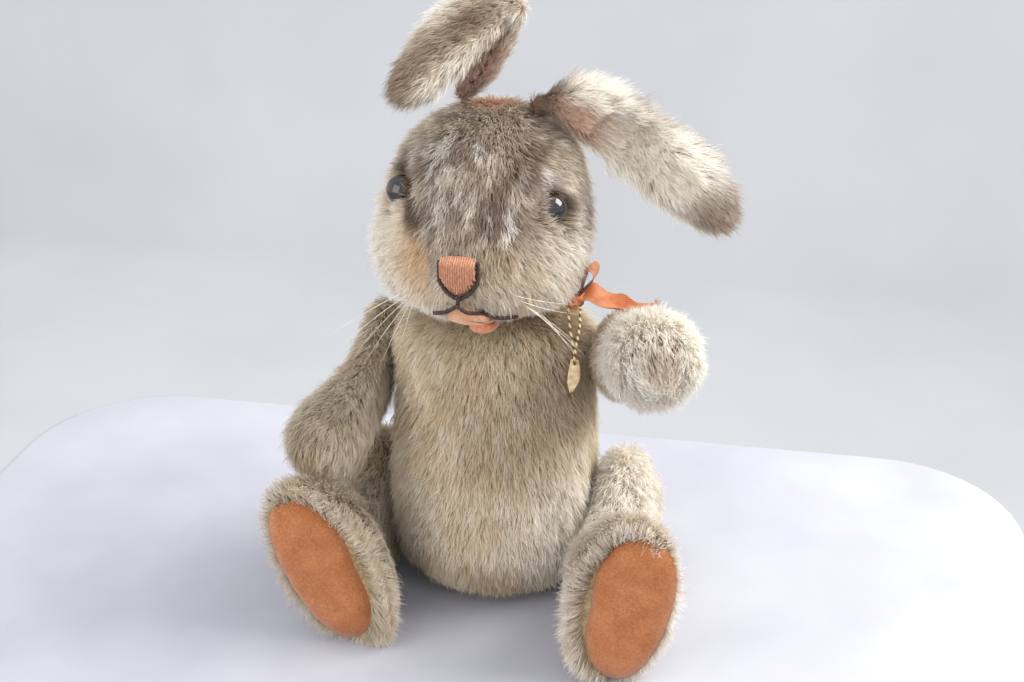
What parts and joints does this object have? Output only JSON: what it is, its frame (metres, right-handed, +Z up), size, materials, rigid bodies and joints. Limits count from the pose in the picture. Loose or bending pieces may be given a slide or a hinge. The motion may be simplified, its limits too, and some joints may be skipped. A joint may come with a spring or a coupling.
{
  "type": "jointed plush rabbit",
  "caption": "Seated jointed rabbit toy of mohair plush, with drooping ears, glass eyes, stitched nose, felt soles, neck ribbon and a small hanging tag.",
  "frame": {"origin": "middle of the flat seat that the trunk sits on", "axes": "+Z up, the rabbit faces -Y, +X towards the rabbit's left side"},
  "size_m": [0.1188, 0.095, 0.178],
  "materials": {
    "mohair": "long worn mohair pile, grey-brown and cream",
    "ear_lining": "short plush",
    "stuffing": "packed wood wool and cotton",
    "felt": "wool felt",
    "ribbon": "woven satin ribbon",
    "nose_thread": "satin-stitched thread",
    "dark_thread": "stitched thread",
    "cord": "twisted cord",
    "tag": "stiffened cloth",
    "eye_glass": "polished dark glass",
    "nylon": "thin clear line",
    "steel": "dull",
    "hardboard": "pressed board"
  },
  "bodies": {
    "trunk": {"trunk_cover": "mohair", "trunk_stuffing": "stuffing", "tail": "mohair", "shoulder_discs": "hardboard", "hip_discs": "hardboard", "neck_lower_disc": "hardboard", "trunk_washers": "steel", "ribbon_band": "ribbon", "ribbon_bow": "ribbon", "tag_cord": "cord", "hang_tag": "tag"},
    "head": {"head_cover": "mohair", "head_stuffing": "stuffing", "neck_upper_disc": "hardboard", "neck_washer": "steel", "neck_pin": "steel", "eye_left": "eye_glass", "eye_right": "eye_glass", "eye_shanks": "steel", "nose": "nose_thread", "nose_outline": "dark_thread", "mouth_stitches": "dark_thread", "mouth_lining": "felt", "lower_lip": "felt", "whiskers": "nylon"},
    "arm_left": {"arm_left_cover": "mohair", "arm_left_stuffing": "stuffing", "arm_left_disc": "hardboard", "arm_left_washer": "steel", "arm_left_pin": "steel", "arm_left_claws": "dark_thread"},
    "leg_left": {"leg_left_cover": "mohair", "leg_left_stuffing": "stuffing", "leg_left_disc": "hardboard", "leg_left_washer": "steel", "leg_left_pin": "steel", "leg_left_sole": "felt", "leg_left_toes": "dark_thread"},
    "ear_left_base": {"ear_left_base_cover": "mohair", "ear_left_base_lining": "ear_lining"},
    "ear_left_tip": {"ear_left_tip_cover": "mohair", "ear_left_tip_lining": "ear_lining"},
    "arm_right": {"arm_right_cover": "mohair", "arm_right_stuffing": "stuffing", "arm_right_disc": "hardboard", "arm_right_washer": "steel", "arm_right_pin": "steel", "arm_right_claws": "dark_thread"},
    "leg_right": {"leg_right_cover": "mohair", "leg_right_stuffing": "stuffing", "leg_right_disc": "hardboard", "leg_right_washer": "steel", "leg_right_pin": "steel", "leg_right_sole": "felt", "leg_right_toes": "dark_thread"},
    "ear_right_base": {"ear_right_base_cover": "mohair", "ear_right_base_lining": "ear_lining"},
    "ear_right_tip": {"ear_right_tip_cover": "mohair", "ear_right_tip_lining": "ear_lining"}
  },
  "joints": [
    {"name": "neck_turn", "type": "hinge", "parent": "trunk", "child": "head", "pos_m": [0, 0, 0.0883], "axis": [0, 0, 1], "range_deg": [-45, 45], "deforming": ["whiskers"]},
    {"name": "shoulder_left", "type": "hinge", "parent": "trunk", "child": "arm_left", "pos_m": [0.0292, 0.003, 0.0696], "axis": [-1, 0, 0], "range_deg": [-20, 45], "deforming": ["ribbon_bow"]},
    {"name": "shoulder_right", "type": "hinge", "parent": "trunk", "child": "arm_right", "pos_m": [-0.0292, 0.003, 0.0696], "axis": [-1, 0, 0], "range_deg": [0, 90]},
    {"name": "hip_left", "type": "hinge", "parent": "trunk", "child": "leg_left", "pos_m": [0.0292, 0.001, 0.023], "axis": [1, 0, 0], "range_deg": [0, 90]},
    {"name": "hip_right", "type": "hinge", "parent": "trunk", "child": "leg_right", "pos_m": [-0.0292, 0.001, 0.023], "axis": [1, 0, 0], "range_deg": [0, 90]},
    {"name": "ear_left_root", "type": "hinge", "parent": "head", "child": "ear_left_base", "pos_m": [0.013, 0.003, 0.1436], "axis": [0, -1, 0], "range_deg": [0, 60]},
    {"name": "ear_left_fold", "type": "hinge", "parent": "ear_left_base", "child": "ear_left_tip", "pos_m": [0.037, 0.003, 0.1364], "axis": [0.5026, 0, 0.8645], "range_deg": [-45, 45]},
    {"name": "ear_right_root", "type": "hinge", "parent": "head", "child": "ear_right_base", "pos_m": [-0.0075, 0.003, 0.1462], "axis": [0, -1, 0], "range_deg": [0, 30]},
    {"name": "ear_right_fold", "type": "hinge", "parent": "ear_right_base", "child": "ear_right_tip", "pos_m": [0.0075, 0.003, 0.1735], "axis": [-0.7814, 0.4613, 0.4202], "range_deg": [0, 100]}
  ]
}
